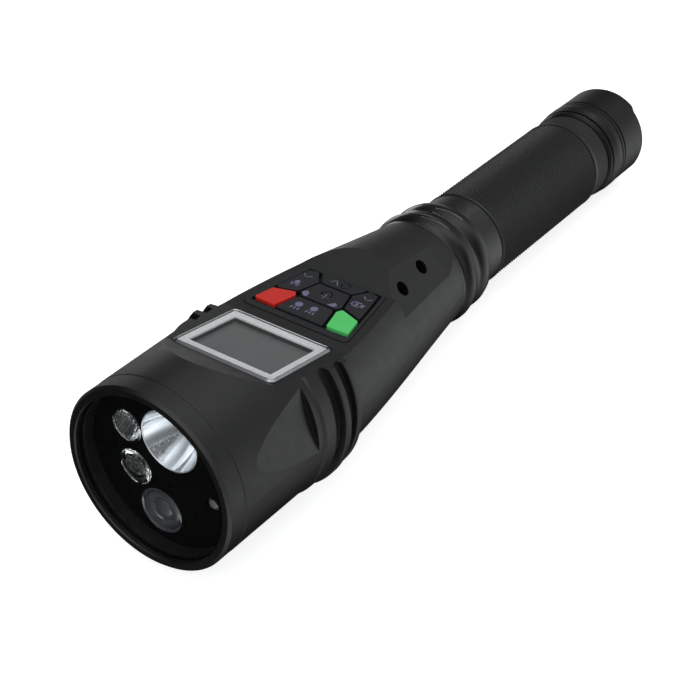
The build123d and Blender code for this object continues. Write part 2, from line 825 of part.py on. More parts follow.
# ------------------------------------------------------------------ tail cap
def make_tail_cap():
    bore = THREAD_R + THREAD_CLEARANCE
    groove = CAP_GROOVE_DEPTH
    cap = turned(
        [
            (bore, CAP_START),
            (17.0, CAP_START),
            (17.5, 248.6),
            (17.65, 249.5),
            (17.65 - groove * 1.6, 249.8),
            (17.65 - groove * 1.6, 250.4),
            (17.75, 250.7),
            (CAP_BULGE_R, 254.0),
            (CAP_BULGE_R, 257.0),
            (CAP_BULGE_R - groove, 257.2),
            (CAP_BULGE_R - groove, 257.8),
            (CAP_BULGE_R - 0.1, 258.0),
            (CAP_BULGE_R - 0.15, 259.0),
            (CAP_R - groove, 259.2),
            (CAP_R - groove, 259.8),
            (CAP_R, 260.0),
            (CAP_R, CAP_END - RIM_ROUND),
            (CAP_R - 0.3 * RIM_ROUND, CAP_END - 0.3 * RIM_ROUND),
            (CAP_R - RIM_ROUND, CAP_END),
            (CAP_RIM_BORE_R + 0.4, CAP_END),
            (CAP_RIM_BORE_R, CAP_END - 0.4),
            (CAP_RIM_BORE_R, CAP_WEB_END),
            (BOOT_R + 0.3, CAP_WEB_END),
            (BOOT_R + 0.3, CAP_WEB_START),
            (13.2, CAP_WEB_START),
            (13.2, CAP_THREAD_END),
            (bore, CAP_THREAD_END),
        ]
    )
    for angle in RIM_NOTCH_ANGLES:
        cap -= rim_notch(angle)
    return cap


def rim_notch(angle):
    """A wide, shallow notch in the tail's rim, for a thumb to reach the switch."""
    half = RIM_NOTCH_WIDTH / 2
    floor = CAP_END - RIM_NOTCH_DEPTH
    cutter = block((-half, half), (floor, CAP_END + 5), (CAP_RIM_BORE_R - 4, CAP_R + 4))
    corners = cutter.edges().filter_by(Axis.Z).sort_by(Axis.Y)[:2]
    return Rot(0, angle, 0) * fillet(corners, RIM_NOTCH_CORNER_R)


def make_switch_boot():
    """A rubber push button: a low dome with a flange inside the cap."""
    return turned(
        [
            (0, BOOT_TOP),
            (4.5, BOOT_TOP - 0.25),
            (7.0, BOOT_TOP - 1.0),
            (BOOT_R, BOOT_TOP - 2.2),
            (BOOT_R, CAP_WEB_START - 0.3),
            (BOOT_FLANGE_R, CAP_WEB_START - 0.3),
            (BOOT_FLANGE_R, BOOT_FLANGE_START),
            (4.2, BOOT_FLANGE_START),
            (4.2, BOOT_CEILING),
            (0, BOOT_CEILING),
        ]
    )


def make_tail_switch():
    """A round switch case on its own board, with a short plunger towards the boot."""
    case = rod(9.0, 262.6, SWITCH_CASE_END) + rod(2.6, SWITCH_CASE_END - 0.1, BOOT_CEILING - 1.8)
    return case + rod(13.0, 261.9, 262.7)


def make_switch_retainer():
    return ring(13.1, 6.5, 260.7, 261.9)


def make_tail_spring():
    """The sprung negative contact, on a small round foot."""
    foot = rod(5.2, 259.2, 261.7)
    return foot + coil_spring(0.5, 4.4, CELL_START + 2 * CELL_LENGTH + 0.1, 259.5)


# ------------------------------------------------------------------ write every piece
def main():
    os.makedirs("parts", exist_ok=True)
    pieces = {
        "head_body": make_head_body(),
        "bezel_ring": make_bezel_ring(),
        "front_window": rod(BEZEL_THREAD_R - 0.2, WINDOW_START, WINDOW_END),
        "window_seal": ring(BEZEL_THREAD_R - 0.2, BEZEL_LIP_R, WINDOW_END, SEAL_END),
        "optics_panel": make_optics_panel(),
        "panel_screws": make_panel_screws(),
        "main_reflector": make_reflector(),
        "main_led": make_main_led(),
        "main_led_board": rod(8.0, 21.0, HEAT_SINK_START, REFLECTOR[0], REFLECTOR[1]),
        "upper_flood_lens": make_flood_lens(UPPER_FLOOD),
        "lower_flood_lens": make_flood_lens(LOWER_FLOOD),
        "upper_flood_led": make_flood_led(UPPER_FLOOD),
        "lower_flood_led": make_flood_led(LOWER_FLOOD),
        "flood_led_boards": make_flood_led_boards(),
        "camera_front_lens": make_camera_front_lens(),
        "camera_lens_ring": make_camera_lens_ring(),
        "camera_barrel": make_camera_barrel(),
        "camera_board": make_camera_board(),
        "light_sensor_lens": make_light_sensor_lens(),
        "sensor_board": make_sensor_board(),
        "microphone": make_microphone(),
        "heat_sink": make_heat_sink(),
        "heat_sink_screws": make_heat_sink_screws(),
        "display_lens": make_display_lens(),
        "display_frame": make_display_frame(),
        "display_gasket": make_display_gasket(),
        "lcd_panel": make_lcd_panel(),
        "lcd_bracket": make_lcd_bracket(),
        "lcd_ribbon": make_lcd_ribbon(),
        "keypad_plate": make_keypad_plate(),
        "keypad_mat": make_keypad_mat(),
        "keypad_board": make_keypad_board(),
        "key_switches": make_key_switches(),
        "floor_screws": make_floor_screws(),
        "inner_chassis": make_inner_chassis(),
        "side_screws": make_side_screws(),
        "main_board": make_main_board(),
        "main_board_screws": make_main_board_screws(),
        "card_socket": make_card_socket(),
        "memory_card": make_memory_card(),
        "battery_leads": make_battery_leads(),
        "contact_board": make_contact_board(),
        "front_spring": coil_spring(0.5, 4.0, 148.6, CELL_START),
        "tube_front_seal": ring(17.15, THREAD_R, HEAD_END, GRIP_START),
        "battery_tube": make_battery_tube(),
        "front_cell": make_cell(CELL_START),
        "rear_cell": make_cell(CELL_START + CELL_LENGTH),
        "tail_seal": ring(THREAD_R, 15.3, CAP_START - 0.3, 249.6),
        "tail_cap": make_tail_cap(),
        "tail_switch": make_tail_switch(),
        "switch_retainer": make_switch_retainer(),
        "switch_boot": make_switch_boot(),
        "tail_spring": make_tail_spring(),
    }
    for name, (outline, place) in KEYS.items():
        pieces[name] = make_key(outline, place)
    for name, shape in pieces.items():
        write_part(name, shape)


main()
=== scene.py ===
import math

import bmesh
import bpy
from mathutils import Matrix, Vector


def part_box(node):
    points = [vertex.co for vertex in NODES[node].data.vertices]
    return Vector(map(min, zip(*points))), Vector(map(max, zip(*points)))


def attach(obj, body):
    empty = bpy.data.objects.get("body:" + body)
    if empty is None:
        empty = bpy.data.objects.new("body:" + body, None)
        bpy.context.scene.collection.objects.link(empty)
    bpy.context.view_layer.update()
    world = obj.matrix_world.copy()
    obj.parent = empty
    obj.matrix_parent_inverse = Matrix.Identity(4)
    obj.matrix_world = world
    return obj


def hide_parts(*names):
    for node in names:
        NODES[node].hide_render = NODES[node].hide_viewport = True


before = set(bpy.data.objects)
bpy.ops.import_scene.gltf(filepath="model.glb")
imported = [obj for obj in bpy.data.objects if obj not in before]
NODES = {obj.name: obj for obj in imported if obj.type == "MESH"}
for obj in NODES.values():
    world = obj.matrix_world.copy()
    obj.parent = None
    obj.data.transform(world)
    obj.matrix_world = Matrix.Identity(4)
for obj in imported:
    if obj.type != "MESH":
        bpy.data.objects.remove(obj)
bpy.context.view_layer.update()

# A hand-held torch recorder on a pale studio floor. The long axis is Y, with the lamps at the
# low end, and up is Z, the display side. Blender gets metres. The named sizes of the pieces are
# in millimetres, and a place along the axis is a station.

MM = 0.001
FRONT_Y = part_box("bezel_ring")[0].y


def station(distance):
    """The Y of a place that many millimetres behind the bezel's front face."""
    return FRONT_Y + distance * MM


# ------------------------------------------------------------------ camera, floor and lights
# The place and the aim are in metres, and the focal length and the sensor in millimetres.
CAMERA_PLACE = Vector((0.2340, -0.4460, 0.2739))
CAMERA_AIM = Vector((-0.0219, -0.0708, -0.0364))
CAMERA_ROLL = math.radians(1.43)
CAMERA_FOCAL = 79.14
CAMERA_SENSOR = 36.0


def make_camera():
    """The camera at the photo's angle."""
    data = bpy.data.cameras.new("camera")
    data.lens = CAMERA_FOCAL
    data.sensor_width = CAMERA_SENSOR
    data.clip_start = 0.01
    data.clip_end = 50.0
    camera = bpy.data.objects.new("camera", data)
    bpy.context.scene.collection.objects.link(camera)
    turn = (CAMERA_AIM - CAMERA_PLACE).to_track_quat("-Z", "Y").to_matrix().to_4x4()
    camera.matrix_world = (
        Matrix.Translation(CAMERA_PLACE) @ turn @ Matrix.Rotation(CAMERA_ROLL, 4, "Z")
    )
    bpy.context.scene.camera = camera


# Soft lights all round the torch: azimuth from the front towards the camera's side, elevation,
# and brightness. Most of the light comes from the front and from above.
SOFT_LIGHTS = {
    "front_low": (30, -40, 1.9),
    "camera_side_low": (90, -40, 0.3),
    "rear_low": (138, -24, 0.55),
    "far_front_low": (330, -40, 0.05),
    "camera_side": (70, -5, 0.55),
    "rear_camera_side": (144, -4, 0.8),
    "rear_far_side": (216, -5, 0.3),
    "far_side": (250, -5, 0.3),
    "front_high": (20, 30, 0.7),
    "camera_side_high": (75, 30, 0.5),
    "rear_high": (160, 30, 0.3),
    "overhead_front": (0, 60, 2.2),
    "overhead_rear": (145, 60, 0.9),
    "overhead_far": (215, 60, 0.3),
    "overhead": (0, 90, 0.5),
}
SOFT_LIGHT_FOCUS = 10.0
SOFT_LIGHT_TINT = (0.965, 0.985, 1.0, 1.0)
BACKDROP = (0.98, 0.98, 0.98, 1.0)

# Softboxes: azimuth, elevation, distance, width and height in metres, and power in watts.
SOFTBOXES = {
    "camera_softbox": (48, 32, 1.3, (0.95, 0.75), 1.7),
    "rear_strip": (196, 43, 1.3, (0.9, 0.03), 0.4),
    "far_card": (227, 4, 0.5, (0.15, 0.15), 0.08),
}
SOFTBOX_AIM = 60.0

# The floor touches the torch at the widest rib and at the tail's rim.
RIB_STATION = 53.0
TAIL_STATION = 275.6
FLOOR_REACH = 6.0


def compass(azimuth, elevation):
    """The unit vector of a direction given in degrees."""
    turn, rise = math.radians(azimuth), math.radians(elevation)
    level = math.cos(rise)
    return Vector((level * math.sin(turn), -level * math.cos(turn), math.sin(rise)))


def make_world():
    """Dark surroundings with broad soft lights. The camera itself sees a pale backdrop."""
    world = bpy.data.worlds.new("studio")
    world.use_nodes = True
    tree = world.node_tree
    background = tree.nodes["Background"]
    way = tree.nodes.new("ShaderNodeTexCoord").outputs["Generated"]
    total = None
    for azimuth, elevation, brightness in SOFT_LIGHTS.values():
        facing = tree.nodes.new("ShaderNodeVectorMath")
        facing.operation = "DOT_PRODUCT"
        facing.inputs[1].default_value = compass(azimuth, elevation)
        tree.links.new(way, facing.inputs[0])
        glow = facing.outputs["Value"]
        steps = (
            ("MAXIMUM", 0.0),
            ("POWER", SOFT_LIGHT_FOCUS),
            ("MULTIPLY", brightness),
            ("ADD", 0.0),
        )
        for operation, value in steps:
            step = tree.nodes.new("ShaderNodeMath")
            step.operation = operation
            step.inputs[1].default_value = value
            tree.links.new(glow, step.inputs[0])
            glow = step.outputs[0]
        if total is not None:
            tree.links.new(total, step.inputs[1])
        total = glow
    tree.links.new(total, background.inputs["Strength"])
    background.inputs["Color"].default_value = SOFT_LIGHT_TINT
    pale = tree.nodes.new("ShaderNodeBackground")
    pale.inputs["Color"].default_value = BACKDROP
    path = tree.nodes.new("ShaderNodeLightPath")
    mix = tree.nodes.new("ShaderNodeMixShader")
    tree.links.new(path.outputs["Is Camera Ray"], mix.inputs[0])
    tree.links.new(background.outputs[0], mix.inputs[1])
    tree.links.new(pale.outputs[0], mix.inputs[2])
    tree.links.new(mix.outputs[0], tree.nodes["World Output"].inputs["Surface"])
    bpy.context.scene.world = world
    bpy.context.scene.view_settings.view_transform = "Standard"


def make_softboxes():
    """Hard-edged lights for the mirror, the lenses and the glossy rings, aimed at the head."""
    for name, (azimuth, elevation, distance, size, power) in SOFTBOXES.items():
        data = bpy.data.lights.new(name, "AREA")
        data.shape = "RECTANGLE"
        data.size, data.size_y = size
        data.energy = power
        light = bpy.data.objects.new(name, data)
        bpy.context.scene.collection.objects.link(light)
        away = compass(azimuth, elevation)
        light.location = away * distance + Vector((0.0, station(SOFTBOX_AIM), 0.0))
        light.rotation_mode = "QUATERNION"
        light.rotation_quaternion = (-away).to_track_quat("-Z", "Y")
        light.visible_camera = False


def make_floor():
    """A pale floor that carries the torch on its widest rib and on its tail."""
    rib_y, rib_r = station(RIB_STATION), -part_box("head_body")[0].z
    tail_y, tail_r = station(TAIL_STATION), -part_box("tail_cap")[0].z
    slope = math.atan2(rib_r - tail_r, tail_y - rib_y)
    signs = ((-1, -1), (1, -1), (1, 1), (-1, 1))
    corners = [(x * FLOOR_REACH, y * FLOOR_REACH, 0) for x, y in signs]
    floor = mesh_object("floor", corners, [(0, 1, 2, 3)], pale_floor())
    floor.matrix_world = Matrix.Translation((0, rib_y, -rib_r)) @ Matrix.Rotation(slope, 4, "X")
    floor.visible_glossy = False
    floor.visible_diffuse = False
    floor.visible_transmission = False


# ------------------------------------------------------------------ material tools
NOISE_ROUGHNESS = 0.5
BEVEL_SAMPLES = 6


class Graph:
    """A material's node tree, with its Principled shader at hand."""

    def __init__(self, name, **sockets):
        self.material = bpy.data.materials.new(name)
        self.material.use_nodes = True
        self.tree = self.material.node_tree
        self.shader = self.tree.nodes["Principled BSDF"]
        self.set(self.shader, {key.replace("_", " "): value for key, value in sockets.items()})

    def set(self, node, inputs):
        """Links or sets a node's inputs by name."""
        for key, value in inputs.items():
            socket = node.inputs[key]
            if isinstance(value, bpy.types.NodeSocket):
                self.tree.links.new(value, socket)
            elif isinstance(value, tuple) and len(value) == 3 and socket.type == "RGBA":
                socket.default_value = (*value, 1.0)
            else:
                socket.default_value = value

    def add(self, kind, inputs=None, **settings):
        """A new node of that kind, with its settings made and its inputs filled."""
        node = self.tree.nodes.new(f"ShaderNode{kind}")
        for key, value in settings.items():
            setattr(node, key, value)
        self.set(node, inputs or {})
        return node

    def place(self):
        """The point on the piece, in its own metres."""
        return self.add("TexCoord").outputs["Object"]

    def noise(self, size_mm, detail=2.0, stretch=None):
        """Soft noise from 0 to 1, with features of about that size."""
        point = self.place()
        if stretch:
            point = self.add("Mapping", {"Vector": point, "Scale": stretch}).outputs[0]
        inputs = {
            "Vector": point,
            "Scale": 1.0 / (size_mm * MM),
            "Detail": detail,
            "Roughness": NOISE_ROUGHNESS,
        }
        return self.add("TexNoise", inputs).outputs["Fac"]

    def spread(self, value, low, high, from_low=0.3, from_high=0.7):
        """A value brought from one range to another. By default the first is most of a noise."""
        ends = {"From Min": from_low, "From Max": from_high, "To Min": low, "To Max": high}
        return self.add("MapRange", {"Value": value, **ends}).outputs["Result"]

    def mottle(self, size_mm, detail=2.0):
        """Noise stretched to the full range from 0 to 1, to blend two tones by."""
        return self.spread(self.noise(size_mm, detail), 0.0, 1.0)

    def blend(self, factor, first, second):
        """One colour or another, by factor."""
        mix = self.add("Mix", data_type="RGBA")
        colours = [socket for socket in mix.inputs if socket.type == "RGBA"]
        self.tree.links.new(factor, mix.inputs[0])
        for socket, value in zip(colours, (first, second)):
            if isinstance(value, bpy.types.NodeSocket):
                self.tree.links.new(value, socket)
            else:
                socket.default_value = (*value, 1.0)
        return next(socket for socket in mix.outputs if socket.type == "RGBA")

    def math(self, operation, first, second):
        return self.add("Math", {0: first, 1: second}, operation=operation).outputs[0]

    def bump(self, height, depth_mm, strength, normal=None):
        """A normal from a height, that many millimetres deep."""
        inputs = {"Height": height, "Distance": depth_mm * MM, "Strength": strength}
        if normal is not None:
            inputs["Normal"] = normal
        return self.add("Bump", inputs).outputs["Normal"]

    def soft_edges(self, radius_mm):
        """A normal that rounds sharp edges by that radius."""
        node = self.add("Bevel", {"Radius": radius_mm * MM}, samples=BEVEL_SAMPLES)
        return node.outputs["Normal"]

    def finish(self, colour=None, roughness=None, normal=None):
        """The material, with these on its shader."""
        ends = {"Base Color": colour, "Roughness": roughness, "Normal": normal}
        self.set(self.shader, {key: value for key, value in ends.items() if value is not None})
        return self.material


def scaled(shade, share):
    """A colour with all its channels brought down or up alike."""
    return tuple(share * channel for channel in shade)


# ------------------------------------------------------------------ materials
# Noise sizes, bump depths and bevels are in millimetres, and the polish's limits are stations.
ANODISED_TONES = ((0.0046, 0.0047, 0.0050), (0.0064, 0.0065, 0.0068))
ANODISED_MOTTLE = (14.0, 3.0)
BLAST_GRAIN = 0.16
BLAST_DEPTH = 0.012
RING_POLISH_START = (137.2, 138.4)
RING_POLISH_END = (156.0, 157.6)
RING_ROUGHNESS = 0.08
RING_SMOOTHING = 0.85
TAIL_GLOSS = 0.23


def pale_floor():
    """Pale matt board, with a faint glow of its own as on a light table."""
    graph = Graph("pale_floor", Emission_Color=(1.0, 1.0, 1.0), Emission_Strength=0.75)
    colour = graph.blend(graph.mottle(90.0), (0.80, 0.81, 0.82), (0.83, 0.84, 0.85))
    return graph.finish(colour, graph.spread(graph.noise(4.0), 0.75, 0.85))


def black_anodised(name="black_anodised", gloss=0.5):
    """Bead-blasted, black-anodised aluminium: satin, with a fine grain and a soft mottle.

    The two rings behind the cone are polished, and everything behind them is a little glossier.
    """
    graph = Graph(name, Specular_IOR_Level=gloss)
    colour = graph.blend(graph.mottle(*ANODISED_MOTTLE), *ANODISED_TONES)
    along = graph.add("SeparateXYZ", {"Vector": graph.place()}).outputs["Y"]
    past_start = graph.spread(along, 0.0, 1.0, *map(station, RING_POLISH_START))
    before_end = graph.spread(along, 1.0, 0.0, *map(station, RING_POLISH_END))
    rings = graph.math("MULTIPLY", past_start, before_end)
    satin = graph.spread(graph.noise(5.0, 4.0), 0.34, 0.42)
    turned = graph.spread(graph.noise(5.0, 4.0), 0.22, 0.28)
    body = graph.add("Mix", {"Factor": before_end, "A": turned, "B": satin}).outputs[0]
    polished = {"Factor": rings, "A": body, "B": RING_ROUGHNESS}
    roughness = graph.add("Mix", polished).outputs[0]
    grain = graph.math("SUBTRACT", 1.0, graph.math("MULTIPLY", rings, RING_SMOOTHING))
    height = graph.math("MULTIPLY", graph.noise(BLAST_GRAIN), grain)
    normal = graph.bump(height, BLAST_DEPTH, 0.5, graph.soft_edges(0.18))
    return graph.finish(colour, roughness, normal)


def black_knurl():
    """The same finish on the grip, worn smoother on the knurl's tips than in its valleys."""
    graph = Graph("black_knurl", Specular_IOR_Level=0.5)
    colour = graph.blend(graph.mottle(*ANODISED_MOTTLE), *ANODISED_TONES)
    place = graph.add("SeparateXYZ", {"Vector": graph.place()}).outputs
    across = graph.add("CombineXYZ", {"X": place["X"], "Y": place["Z"]}).outputs[0]
    reach = graph.add("VectorMath", {0: across}, operation="LENGTH").outputs["Value"]
    valley, tip = (GRIP_R - KNURL_DEPTH) * MM, GRIP_R * MM
    height = graph.math("MULTIPLY", graph.noise(BLAST_GRAIN), 0.6)
    normal = graph.bump(height, BLAST_DEPTH, 0.5)
    return graph.finish(colour, graph.spread(reach, 0.60, 0.30, valley, tip), normal)


def sensor_glass():
    """Smoky dome over the light sensor."""
    graph = Graph("sensor_glass", IOR=1.5, Coat_Weight=0.5, Coat_Roughness=0.05)
    colour = graph.blend(graph.mottle(1.2, 1.0), (0.13, 0.126, 0.118), (0.19, 0.184, 0.168))
    return graph.finish(colour, graph.spread(graph.noise(0.8), 0.12, 0.2))


def cover_edge():
    """The display cover's bevel, mirrored from behind."""
    graph = Graph("cover_edge", Metallic=1.0)
    colour = graph.blend(graph.mottle(5.0), (0.34, 0.345, 0.36), (0.42, 0.425, 0.44))
    return graph.finish(colour, graph.spread(graph.noise(2.0), 0.14, 0.22))


def window_glass():
    """Coated, nearly reflection-free glass."""
    clear = (0.93, 0.95, 0.95)
    graph = Graph("window_glass", Base_Color=clear, Transmission_Weight=1.0, IOR=1.14)
    return graph.finish(roughness=graph.spread(graph.noise(9.0, 4.0), 0.0, 0.02))


def clear_acrylic():
    """Clear moulded acrylic, a touch uneven."""
    clear = (0.96, 0.97, 0.97)
    graph = Graph("clear_lens", Base_Color=clear, Transmission_Weight=1.0, IOR=1.49)
    return graph.finish(roughness=graph.spread(graph.noise(3.0, 3.0), 0.01, 0.04))


def camera_glass():
    """A coated lens: dark glass with a clear reflection."""
    graph = Graph("camera_glass", IOR=1.7, Coat_Weight=0.4, Coat_Roughness=0.02)
    colour = graph.blend(graph.mottle(6.0, 1.0), (0.045, 0.046, 0.055), (0.060, 0.060, 0.066))
    return graph.finish(colour, graph.spread(graph.noise(2.0), 0.03, 0.08))


def rubber(name, shade, roughness=0.7):
    """Matt rubber or soft sleeving, with a coarse grain."""
    graph = Graph(name, Specular_IOR_Level=0.3)
    colour = graph.blend(graph.mottle(2.5, 4.0), scaled(shade, 0.8), scaled(shade, 1.25))
    normal = graph.bump(graph.noise(0.25, 3.0), 0.02, 0.5)
    spread = graph.spread(graph.noise(1.5), roughness - 0.1, roughness + 0.1)
    return graph.finish(colour, spread, normal)


def moulded(name, shade, roughness=0.45, gloss=0.5):
    """Moulded plastic with a fine spark-eroded grain."""
    graph = Graph(name, Specular_IOR_Level=gloss)
    colour = graph.blend(graph.mottle(6.0, 3.0), scaled(shade, 0.88), scaled(shade, 1.10))
    normal = graph.bump(graph.noise(0.3), 0.01, 0.6, graph.soft_edges(0.1))
    spread = graph.spread(graph.noise(2.0), roughness - 0.06, roughness + 0.06)
    return graph.finish(colour, spread, normal)


def brushed(name, shade, roughness=0.3):
    """Metal with fine lines from a brush or a lathe tool."""
    graph = Graph(name, Metallic=1.0)
    lines = graph.noise(0.12, 3.0, (1.0, 0.04, 1.0))
    colour = graph.blend(graph.mottle(3.0, 3.0), scaled(shade, 0.86), shade)
    normal = graph.bump(lines, 0.006, 0.5, graph.soft_edges(0.08))
    return graph.finish(colour, graph.spread(lines, roughness - 0.08, roughness + 0.10), normal)


def mirror():
    """A bright coating on a moulded reflector, slightly hazy and slightly wavy."""
    graph = Graph("reflector_mirror", Metallic=0.75, Base_Color=(0.88, 0.90, 0.93))
    normal = graph.bump(graph.noise(1.6, 1.0), 0.004, 0.5)
    return graph.finish(roughness=graph.spread(graph.noise(0.6, 3.0), 0.02, 0.07), normal=normal)


def lamp_phosphor():
    """The yellow face of a white lamp chip."""
    graph = Graph("lamp_phosphor", Coat_Weight=0.5, Coat_Roughness=0.1)
    colour = graph.blend(graph.mottle(0.3, 3.0), (0.72, 0.50, 0.05), (0.95, 0.74, 0.16))
    return graph.finish(colour, graph.spread(graph.noise(0.2), 0.35, 0.5))


def circuit_board():
    """Green solder mask with faint tracks under it."""
    graph = Graph("circuit_board", Coat_Weight=0.4, Coat_Roughness=0.15)
    pattern = {"Vector": graph.place(), "Scale": 420.0, "Mortar Size": 0.012}
    tracks = graph.add("TexBrick", pattern).outputs["Fac"]
    colour = graph.blend(tracks, (0.012, 0.085, 0.035), (0.03, 0.16, 0.06))
    return graph.finish(colour, graph.spread(graph.noise(1.0), 0.35, 0.5))


def display_silver():
    """Satin silver print behind the display's cover."""
    graph = Graph("display_silver", Specular_IOR_Level=0.4)
    colour = graph.blend(graph.mottle(12.0), (0.90, 0.91, 0.93), (0.96, 0.97, 0.98))
    normal = graph.bump(graph.noise(0.12), 0.004, 0.4)
    return graph.finish(colour, graph.spread(graph.noise(1.0, 3.0), 0.30, 0.42), normal)


def display_dark():
    """A switched-off display: grey-green glass with a faint cell pattern."""
    graph = Graph("display_dark", Coat_Weight=0.3, Coat_Roughness=0.12)
    glass = graph.blend(graph.mottle(16.0, 1.0), (0.108, 0.146, 0.112), (0.144, 0.126, 0.156))
    pattern = {"Vector": graph.place(), "Scale": 3300.0, "Mortar Size": 0.05}
    cells = graph.add("TexBrick", pattern, offset=0.0).outputs["Fac"]
    colour = graph.blend(graph.spread(cells, 0.0, 0.35, 0.0, 1.0), glass, (0.07, 0.08, 0.07))
    return graph.finish(colour, graph.spread(graph.noise(4.0), 0.30, 0.38))


def keypad_black():
    """Satin black key skin, with a slight violet and green cast in the print."""
    graph = Graph("keypad_black", Specular_IOR_Level=0.4)
    violet, green = (0.0150, 0.0115, 0.0165), (0.0110, 0.0150, 0.0145)
    colour = graph.blend(graph.mottle(11.0, 1.5), violet, green)
    normal = graph.bump(graph.noise(0.2), 0.01, 0.5, graph.soft_edges(0.15))
    return graph.finish(colour, graph.spread(graph.noise(3.0, 3.0), 0.42, 0.52), normal)


def key_colour(name, shade):
    """Painted key: a satin face, slightly richer where the paint is thick."""
    graph = Graph(name, Specular_IOR_Level=0.4)
    colour = graph.blend(graph.mottle(4.0), scaled(shade, 0.93), shade)
    normal = graph.bump(graph.noise(0.18), 0.008, 0.5, graph.soft_edges(0.15))
    return graph.finish(colour, graph.spread(graph.noise(2.0, 3.0), 0.40, 0.5), normal)


def mark_print(name, shade):
    """Ink on a key: thin, a little uneven."""
    graph = Graph(name, Specular_IOR_Level=0.3)
    colour = graph.blend(graph.mottle(0.5, 3.0), scaled(shade, 0.75), shade)
    return graph.finish(colour, graph.spread(graph.noise(0.8), 0.45, 0.6))


# The materials of the record's slots, and two more: sensor_glass and cover_edge.
FINISHES = {
    "black_anodised": black_anodised,
    "window_glass": window_glass,
    # The seal rubber is nearly black, darker than real rubber: painted shade for the bezel's inner
    # lip, which lies in shade.
    "seal_rubber": lambda: rubber("seal_rubber", (0.002, 0.002, 0.002)),
    # The optics panel is nearly black and barely glossy, darker than its real dark-grey plastic:
    # painted shade for the deep recess behind the window.
    "optics_black": lambda: moulded("optics_black", (0.0012, 0.0012, 0.0013), 0.5, gloss=0.04),
    "reflector_mirror": mirror,
    "lamp_phosphor": lamp_phosphor,
    "clear_lens": clear_acrylic,
    "camera_glass": camera_glass,
    "sensor_glass": sensor_glass,
    "cover_edge": cover_edge,
    "circuit_board": circuit_board,
    "lamp_board": lambda: moulded("lamp_board", (0.75, 0.76, 0.76), 0.4),
    "bare_aluminium": lambda: brushed("bare_aluminium", (0.78, 0.79, 0.80)),
    "screw_black": lambda: brushed("screw_black", (0.004, 0.004, 0.005), 0.5),
    "screw_steel": lambda: brushed("screw_steel", (0.62, 0.63, 0.64)),
    "display_silver": display_silver,
    "display_dark": display_dark,
    "keypad_black": keypad_black,
    "keypad_silicone": lambda: rubber("keypad_silicone", (0.012, 0.012, 0.013), 0.6),
    "key_red": lambda: key_colour("key_red", (0.66, 0.026, 0.018)),
    "key_green": lambda: key_colour("key_green", (0.105, 0.68, 0.175)),
    "ribbon": lambda: moulded("ribbon", (0.50, 0.24, 0.05), 0.3),
    "wire_red": lambda: rubber("wire_red", (0.50, 0.02, 0.02), 0.5),
    "spring_metal": lambda: brushed("spring_metal", (0.74, 0.72, 0.66)),
    "brass_ring": lambda: brushed("brass_ring", (0.74, 0.58, 0.30)),
    "card_black": lambda: moulded("card_black", (0.02, 0.02, 0.02), 0.4),
    "cell_sleeve": lambda: moulded("cell_sleeve", (0.06, 0.16, 0.34), 0.3),
    "switch_case": lambda: moulded("switch_case", (0.03, 0.03, 0.033), 0.4),
}


def finish_cad_nodes():
    """Gives each CAD node the material of its record slot, apart from two with their own."""
    made = {slot: make() for slot, make in FINISHES.items()}
    for node in NODES.values():
        for material_slot in node.material_slots:
            material_slot.material = made[material_slot.name.split(".")[0]]
    NODES["light_sensor_lens"].material_slots[0].material = made["sensor_glass"]
    NODES["tail_cap"].material_slots[0].material = black_anodised("black_tail", TAIL_GLOSS)
    return made


# ------------------------------------------------------------------ mesh tools
def mesh_object(name, points, faces, material, crease=None):
    """A mesh with its faces turned outwards, smooth up to the crease angle if there is one."""
    mesh = bpy.data.meshes.new(name)
    mesh.from_pydata(points, [], faces)
    mesh.validate()
    shape = bmesh.new()
    shape.from_mesh(mesh)
    bmesh.ops.recalc_face_normals(shape, faces=shape.faces)
    shape.to_mesh(mesh)
    shape.free()
    mesh.materials.append(material)
    if crease is not None:
        mesh.shade_smooth()
        mesh.set_sharp_from_angle(angle=math.radians(crease))
    piece = bpy.data.objects.new(name, mesh)
    bpy.context.scene.collection.objects.link(piece)
    return piece


class Turning:
    """Points and faces of a body turned about the long axis, ring by ring."""

    def __init__(self, around, centre=(0.0, 0.0)):
        self.around = around
        self.centre = centre
        self.points = []
        self.faces = []

    def ring(self, radius, distance, offset=0.0):
        """One ring of points, shifted round by a share of a step. Returns its first point."""
        first = len(self.points)
        for step in range(self.around):
            angle = 2 * math.pi * (step + offset) / self.around
            x = self.centre[0] + radius * math.cos(angle)
            z = self.centre[1] + radius * math.sin(angle)
            self.points.append((x * MM, station(distance), z * MM))
        return first

    def join(self, first, second):
        """Quads between two rings."""
        for step in range(self.around):
            after = (step + 1) % self.around
            self.faces.append((first + step, first + after, second + after, second + step))

    def profile(self, places, start):
        """Rings through (radius, station) places, joined on from a ring. Returns the last ring."""
        for radius, distance in places:
            ring = self.ring(radius, distance)
            self.join(start, ring)
            start = ring
        return start

    def cap(self, ring, distance):
        """A fan that closes a ring at the centre."""
        self.points.append((self.centre[0] * MM, station(distance), self.centre[1] * MM))
        middle = len(self.points) - 1
        for step in range(self.around):
            self.faces.append((ring + step, ring + (step + 1) % self.around, middle))


def round_seat(node):
    """Radius, centre, front and back of a round CAD piece, in millimetres and stations."""
    low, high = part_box(node)
    centre = ((low.x + high.x) / 2 / MM, (low.z + high.z) / 2 / MM)
    return (high.x - low.x) / 2 / MM, centre, (low.y - FRONT_Y) / MM, (high.y - FRONT_Y) / MM


# ------------------------------------------------------------------ the knurled tube
TUBE_START, TUBE_END = 151.0, 259.5
TUBE_BORE_R = 13.6
TUBE_CHAMFER = 0.3
THREAD_R = 15.58
THREAD_PITCH = 1.5
THREAD_DEPTH = 0.45
THREAD_LEAD = 1.2
THREAD_RUN_OUT = 3.0
